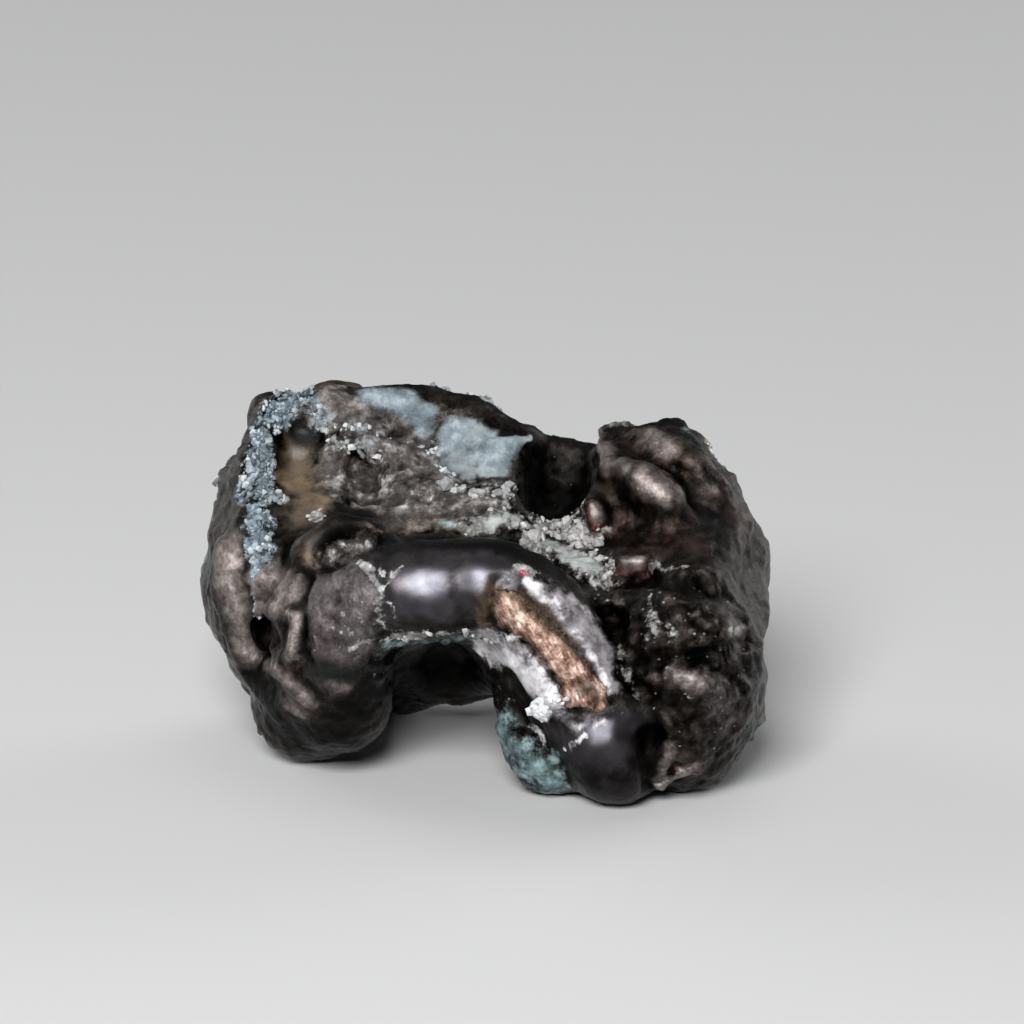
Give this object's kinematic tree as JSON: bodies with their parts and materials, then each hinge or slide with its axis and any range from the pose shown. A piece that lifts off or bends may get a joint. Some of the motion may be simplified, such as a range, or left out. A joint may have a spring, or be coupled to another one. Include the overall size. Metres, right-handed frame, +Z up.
{
  "type": "native copper nugget",
  "caption": "Small natural nugget of native copper: rounded lobes and folds, a smooth arched bar at the front and a crusted sloping plate, standing on its own feet.",
  "frame": {"origin": "middle of the nugget's footprint, on the surface that it stands on", "axes": "+X along its length to the right, -Y towards the arched bar at its front, +Z up"},
  "size_m": [0.033, 0.024, 0.02],
  "materials": {
    "tarnished_copper": "dark brown tarnish with a soft gloss, pale blue-green and grey crust, and bare copper on one worn flat"
  },
  "bodies": {
    "root": {"nugget": "tarnished_copper"}
  },
  "joints": []
}
